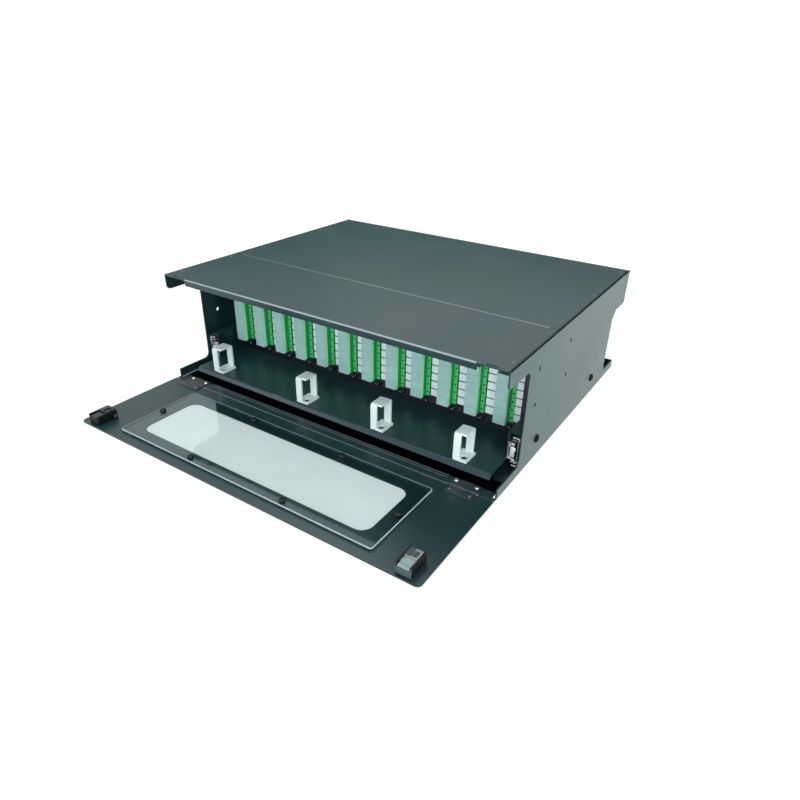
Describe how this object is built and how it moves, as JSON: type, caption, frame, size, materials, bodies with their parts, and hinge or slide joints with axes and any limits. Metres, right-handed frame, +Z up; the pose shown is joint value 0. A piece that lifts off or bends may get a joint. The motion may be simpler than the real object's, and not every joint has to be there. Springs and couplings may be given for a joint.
{
  "type": "sliding fibre patch drawer",
  "caption": "Rack-mount fibre patch drawer with green adapters in upright modules, cable rings, telescopic slides and a fold-down window door with slide latches.",
  "frame": {"origin": "middle of the base plate's underside", "axes": "+X to the right seen from the front, +Y to the rear, +Z up"},
  "size_m": [0.44, 0.485, 0.132],
  "materials": {
    "black_paint": "fine satin powder coat",
    "zinc_steel": "zinc plated",
    "bearing_steel": "plain",
    "hinge_steel": "satin black",
    "black_screw": "black oxide",
    "green_plastic": "satin",
    "frosted_plastic": "frosted",
    "white_plastic": "satin",
    "black_plastic": "moulded",
    "grey_plastic": "moulded",
    "clear_plastic": "clear"
  },
  "bodies": {
    "chassis": {"left_side_wall": "black_paint", "right_side_wall": "black_paint", "base_plate": "black_paint", "front_cover": "black_paint", "rear_cover": "black_paint", "left_slide_outer": "zinc_steel", "right_slide_outer": "zinc_steel", "slide_screws": "black_screw"},
    "drawer": {"drawer_tray": "black_paint", "left_slide_guard": "black_paint", "right_slide_guard": "black_paint", "module_frame": "black_paint", "left_slide_inner": "zinc_steel", "right_slide_inner": "zinc_steel", "dust_caps": "frosted_plastic", "module_knobs": "black_plastic", "left_drawer_leaf": "hinge_steel", "right_drawer_leaf": "hinge_steel", "hinge_pins": "zinc_steel", "module_plate_01": "black_paint", "module_plate_02": "black_paint", "module_plate_03": "black_paint", "module_plate_04": "black_paint", "module_plate_05": "black_paint", "module_plate_06": "black_paint", "module_plate_07": "black_paint", "module_plate_08": "black_paint", "module_plate_09": "black_paint", "module_plate_10": "black_paint", "module_plate_11": "black_paint", "module_plate_12": "black_paint", "adapters_01": "green_plastic", "adapters_02": "green_plastic", "adapters_03": "green_plastic", "adapters_04": "green_plastic", "adapters_05": "green_plastic", "adapters_06": "green_plastic", "adapters_07": "green_plastic", "adapters_08": "green_plastic", "adapters_09": "green_plastic", "adapters_10": "green_plastic", "adapters_11": "green_plastic", "adapters_12": "green_plastic", "cable_ring_1": "white_plastic", "cable_ring_2": "white_plastic", "cable_ring_3": "white_plastic", "cable_ring_4": "white_plastic"},
    "door": {"door_panel": "black_paint", "window_pane": "clear_plastic", "left_door_leaf": "hinge_steel", "right_door_leaf": "hinge_steel", "left_latch_housing": "black_plastic", "right_latch_housing": "black_plastic"},
    "left_slide_carrier": {"left_slide_middle": "zinc_steel", "left_ball_cages": "bearing_steel"},
    "left_latch": {"left_latch_slider": "grey_plastic"},
    "right_slide_carrier": {"right_slide_middle": "zinc_steel", "right_ball_cages": "bearing_steel"},
    "right_latch": {"right_latch_slider": "grey_plastic"}
  },
  "joints": [
    {"name": "drawer_slide", "type": "slide", "parent": "chassis", "child": "drawer", "axis": [0, -1, 0], "range_m": [0, 0.22]},
    {"name": "door_hinge", "type": "hinge", "parent": "drawer", "child": "door", "pos_m": [0, -0.18, 0.002], "axis": [-1, 0, 0], "range_deg": [0, 90]},
    {"name": "left_carrier_slide", "type": "slide", "parent": "chassis", "child": "left_slide_carrier", "axis": [0, -1, 0], "range_m": [0, 0.11]},
    {"name": "right_carrier_slide", "type": "slide", "parent": "chassis", "child": "right_slide_carrier", "axis": [0, -1, 0], "range_m": [0, 0.11]},
    {"name": "left_latch_slide", "type": "slide", "parent": "door", "child": "left_latch", "axis": [0, -1, 0], "range_m": [0, 0.0045]},
    {"name": "right_latch_slide", "type": "slide", "parent": "door", "child": "right_latch", "axis": [0, -1, 0], "range_m": [0, 0.0045]}
  ],
  "couplings": [
    {"joint": "left_carrier_slide", "follows": "drawer_slide", "ratio": 0.5},
    {"joint": "right_carrier_slide", "follows": "drawer_slide", "ratio": 0.5}
  ]
}
